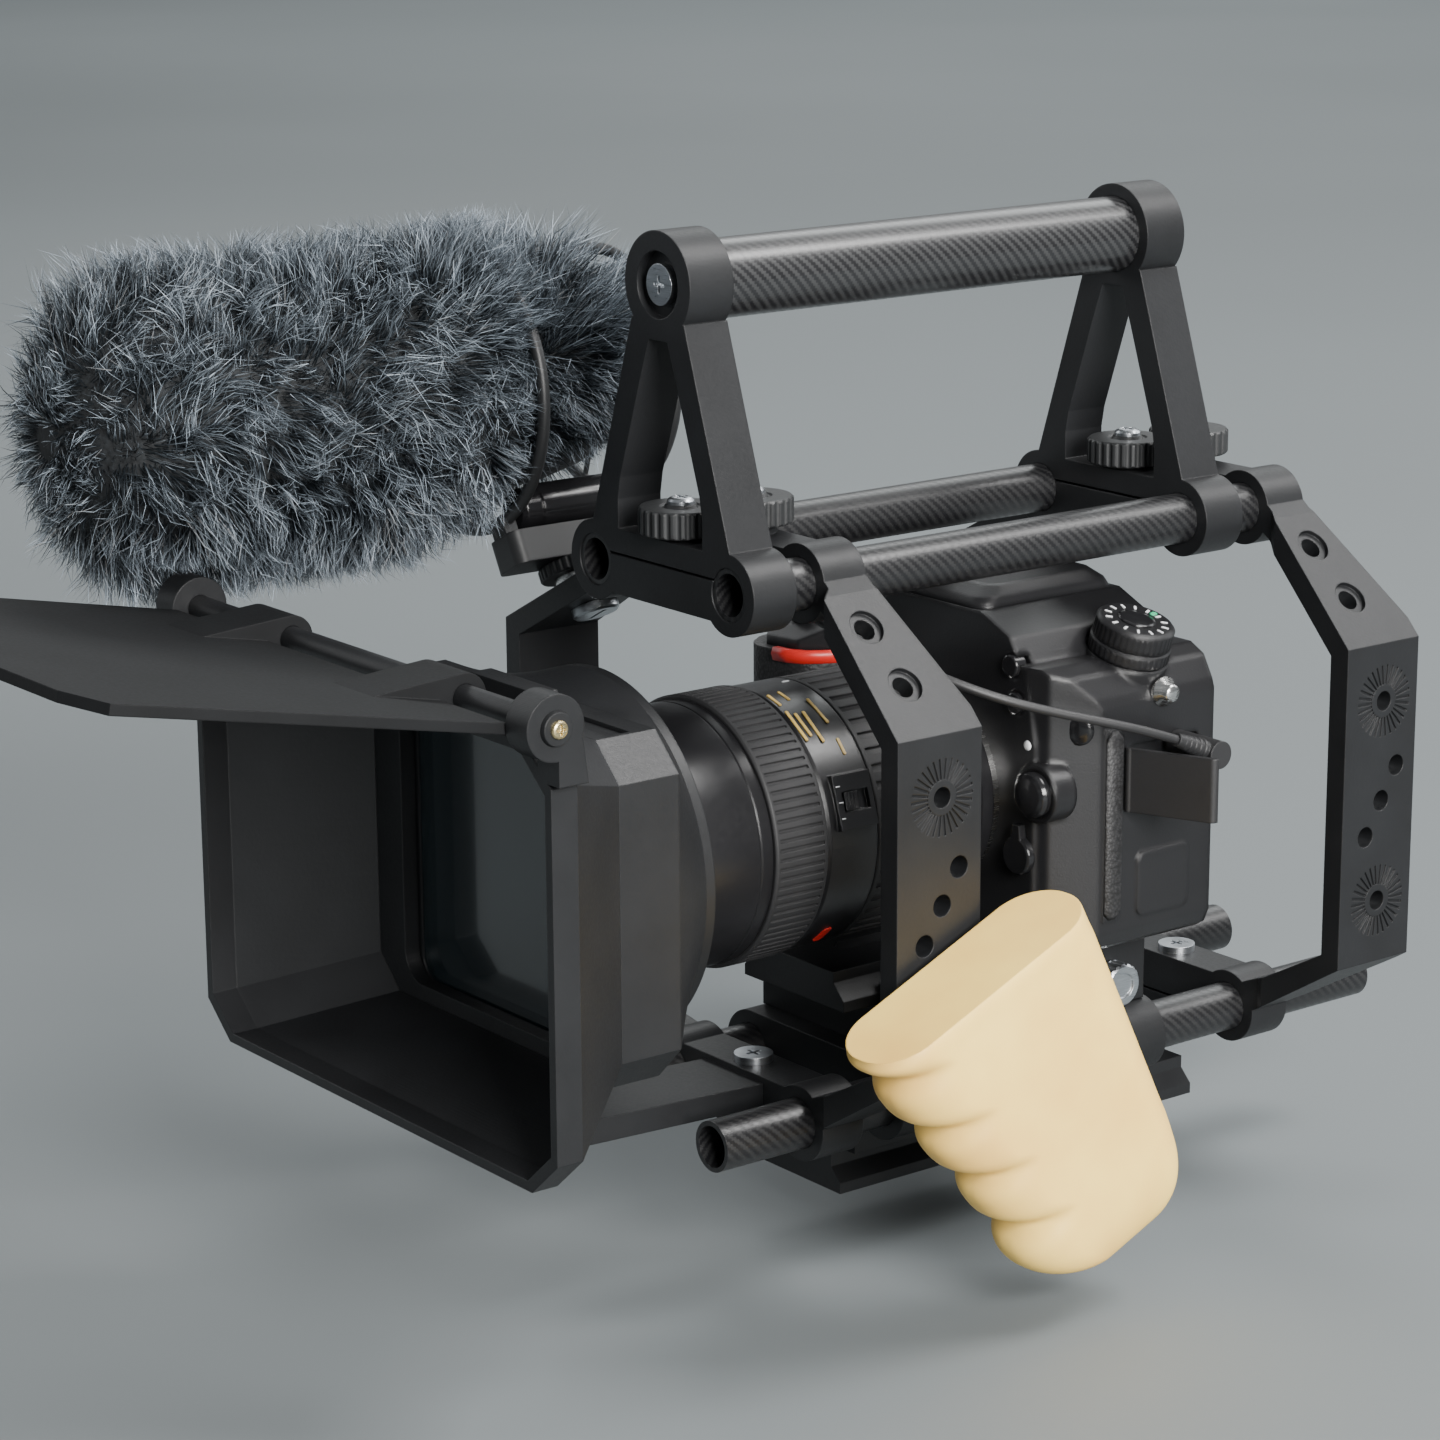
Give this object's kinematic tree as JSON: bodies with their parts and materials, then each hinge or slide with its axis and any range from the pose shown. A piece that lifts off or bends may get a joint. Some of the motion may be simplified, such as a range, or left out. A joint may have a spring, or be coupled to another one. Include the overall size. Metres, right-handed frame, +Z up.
{
  "type": "cinema camera rig",
  "caption": "Rod-mounted camera cage with top handle, matte box and flag, zoom lens, camera body, furry microphone and finger-groove side grip.",
  "frame": {"origin": "mouth of the tripod thread in the underside of the dovetail plate", "axes": "+Z up, lens points along -Y, +X is the side with the ports and the side grip"},
  "size_m": [0.2887, 0.5072, 0.3091],
  "materials": {
    "printed_black": "matt black printed plastic with faint layer lines",
    "carbon": "woven carbon fibre under clear coat",
    "zinc": "bright zinc-plated steel",
    "brass": "turned brass",
    "flag_black": "matt black sheet",
    "glass": "coated optical glass",
    "lens_black": "fine satin black lens barrel",
    "lens_rubber": "black grip rubber",
    "lens_metal": "bright bayonet metal",
    "camera_shell": "fine grained satin black",
    "camera_rubber": "pebbled black rubber",
    "button_black": "glossy black",
    "screen": "dark glossy screen",
    "mic_gloss": "glossy black",
    "mic_black": "satin black",
    "fur": "long grey artificial fur",
    "cable": "black cable jacket",
    "beige": "smooth satin cream plastic",
    "knob": "satin black fluted plastic"
  },
  "bodies": {
    "rig": {"upper_rod_left": "carbon", "upper_rod_right": "carbon", "lower_rod_left": "carbon", "lower_rod_right": "carbon", "handle_tube": "carbon", "front_handle_frame": "printed_black", "rear_handle_frame": "printed_black", "front_cage_frame": "printed_black", "rear_cage_frame": "printed_black", "frame_screws": "zinc", "rod_base": "printed_black", "riser_block": "printed_black", "quick_release_plate": "printed_black", "dovetail_plate": "printed_black", "matte_box_hood": "printed_black", "matte_box_stage": "printed_black", "matte_box_adapter": "printed_black", "matte_box_bracket": "printed_black", "flag_rod": "printed_black", "lens_front_barrel": "lens_black", "lens_front_glass": "glass", "lens_name_barrel": "lens_black", "lens_rear_barrel": "lens_black", "lens_mount_ring": "lens_metal", "camera_body": "camera_shell", "camera_hand_grip": "camera_rubber", "camera_prism": "camera_shell", "rear_screen": "screen", "eyecup": "camera_rubber", "mic_mount_bolt": "zinc", "mic_shoe": "lens_metal", "mic_saddle": "mic_black", "mic_power_tube": "mic_gloss", "mic_hoops": "mic_black", "mic_barrel": "mic_black", "windscreen": "fur", "mic_cable": "cable", "mic_plug": "cable", "grip_bolt": "zinc"},
    "front_handle_knob_body": {"front_handle_knob": "knob"},
    "front_cage_knob_body": {"front_cage_knob": "knob"},
    "rear_handle_knob_body": {"rear_handle_knob": "knob"},
    "rear_cage_knob_body": {"rear_cage_knob": "knob"},
    "plate_lock": {"plate_lock_knob": "zinc"},
    "tray": {"filter_tray": "printed_black", "filter_glass": "glass"},
    "flag": {"flag_panel": "flag_black"},
    "focus": {"lens_focus_ring": "lens_rubber"},
    "zoom": {"lens_zoom_ring": "lens_rubber"},
    "mode_switch": {"focus_mode_switch": "button_black"},
    "dial": {"mode_dial": "camera_shell"},
    "release_ring": {"release_mode_ring": "camera_shell"},
    "shutter": {"shutter_button": "button_black"},
    "flash": {"flash_button": "button_black"},
    "bracket_key": {"bracket_button": "button_black"},
    "lens_release": {"lens_release_button": "button_black"},
    "lever": {"focus_mode_lever": "button_black"},
    "door": {"port_door": "camera_rubber"},
    "grip": {"finger_grip": "beige"},
    "mic_ring": {"mic_lock_ring": "mic_black"}
  },
  "joints": [
    {"name": "front_handle_knob_turn", "type": "hinge", "parent": "rig", "child": "front_handle_knob_body", "pos_m": [0, -0.1205, 0.2025], "axis": [0, 0, 1], "range_deg": [0, 360]},
    {"name": "front_cage_knob_turn", "type": "hinge", "parent": "rig", "child": "front_cage_knob_body", "pos_m": [0, -0.094, 0.2025], "axis": [0, 0, 1], "range_deg": [0, 360]},
    {"name": "rear_handle_knob_turn", "type": "hinge", "parent": "rig", "child": "rear_handle_knob_body", "pos_m": [0, 0.061, 0.2025], "axis": [0, 0, 1], "range_deg": [0, 360]},
    {"name": "rear_cage_knob_turn", "type": "hinge", "parent": "rig", "child": "rear_cage_knob_body", "pos_m": [0, 0.0885, 0.2025], "axis": [0, 0, 1], "range_deg": [0, 360]},
    {"name": "plate_lock_turn", "type": "hinge", "parent": "rig", "child": "plate_lock", "pos_m": [0.036, 0.024, 0.054], "axis": [1, 0, 0], "range_deg": [0, 180]},
    {"name": "filter_tray_slide", "type": "slide", "parent": "rig", "child": "tray", "axis": [0, 0, 1], "range_m": [0, 0.095]},
    {"name": "flag_hinge", "type": "hinge", "parent": "rig", "child": "flag", "pos_m": [0, -0.2355, 0.1928], "axis": [1, 0, 0], "range_deg": [-30, 60]},
    {"name": "focus_ring_turn", "type": "hinge", "parent": "rig", "child": "focus", "pos_m": [0, -0.108, 0.1214], "axis": [0, 1, 0], "continuous": true},
    {"name": "zoom_ring_turn", "type": "hinge", "parent": "rig", "child": "zoom", "pos_m": [0, -0.063, 0.1214], "axis": [0, 1, 0], "range_deg": [-35, 35]},
    {"name": "focus_mode_switch_slide", "type": "slide", "parent": "rig", "child": "mode_switch", "axis": [0, 1, 0], "range_m": [0, 0.0042]},
    {"name": "mode_dial_turn", "type": "hinge", "parent": "rig", "child": "dial", "pos_m": [0.0475, 0.018, 0.166], "axis": [0.2799, 0.05, 0.9587], "continuous": true},
    {"name": "release_mode_turn", "type": "hinge", "parent": "rig", "child": "release_ring", "pos_m": [0.0475, 0.018, 0.166], "axis": [0.2799, 0.05, 0.9587], "range_deg": [-120, 120]},
    {"name": "shutter_press", "type": "slide", "parent": "rig", "child": "shutter", "axis": [0, 0.3489, -0.9371], "range_m": [0, 0.0012], "stiffness_N_per_m": 600, "springref_m": -0.0008},
    {"name": "flash_button_press", "type": "slide", "parent": "rig", "child": "flash", "axis": [0, 1, 0], "range_m": [0, 0.0012], "stiffness_N_per_m": 600, "springref_m": -0.0008},
    {"name": "bracket_button_press", "type": "slide", "parent": "rig", "child": "bracket_key", "axis": [0, 1, 0], "range_m": [0, 0.0012], "stiffness_N_per_m": 600, "springref_m": -0.0008},
    {"name": "lens_release_press", "type": "slide", "parent": "rig", "child": "lens_release", "axis": [0, 1, 0], "range_m": [0, 0.0022], "stiffness_N_per_m": 600, "springref_m": -0.0008},
    {"name": "focus_lever_turn", "type": "hinge", "parent": "rig", "child": "lever", "pos_m": [0.043, -0.021, 0.1065], "axis": [0, 1, 0], "range_deg": [-25, 25]},
    {"name": "port_door_hinge", "type": "hinge", "parent": "rig", "child": "door", "pos_m": [0.0616, 0.0066, 0.1299], "axis": [0, 0, 1], "range_deg": [-70, 8]},
    {"name": "grip_angle", "type": "hinge", "parent": "rig", "child": "grip", "pos_m": [0.0841, -0.0891, 0.0791], "axis": [1, 0, 0], "range_deg": [-45, 45]},
    {"name": "mic_lock_turn", "type": "hinge", "parent": "rig", "child": "mic_ring", "pos_m": [-0.089, -0.092, 0.18062], "axis": [-0.4679, 0, 0.8838], "range_deg": [0, 360]}
  ]
}
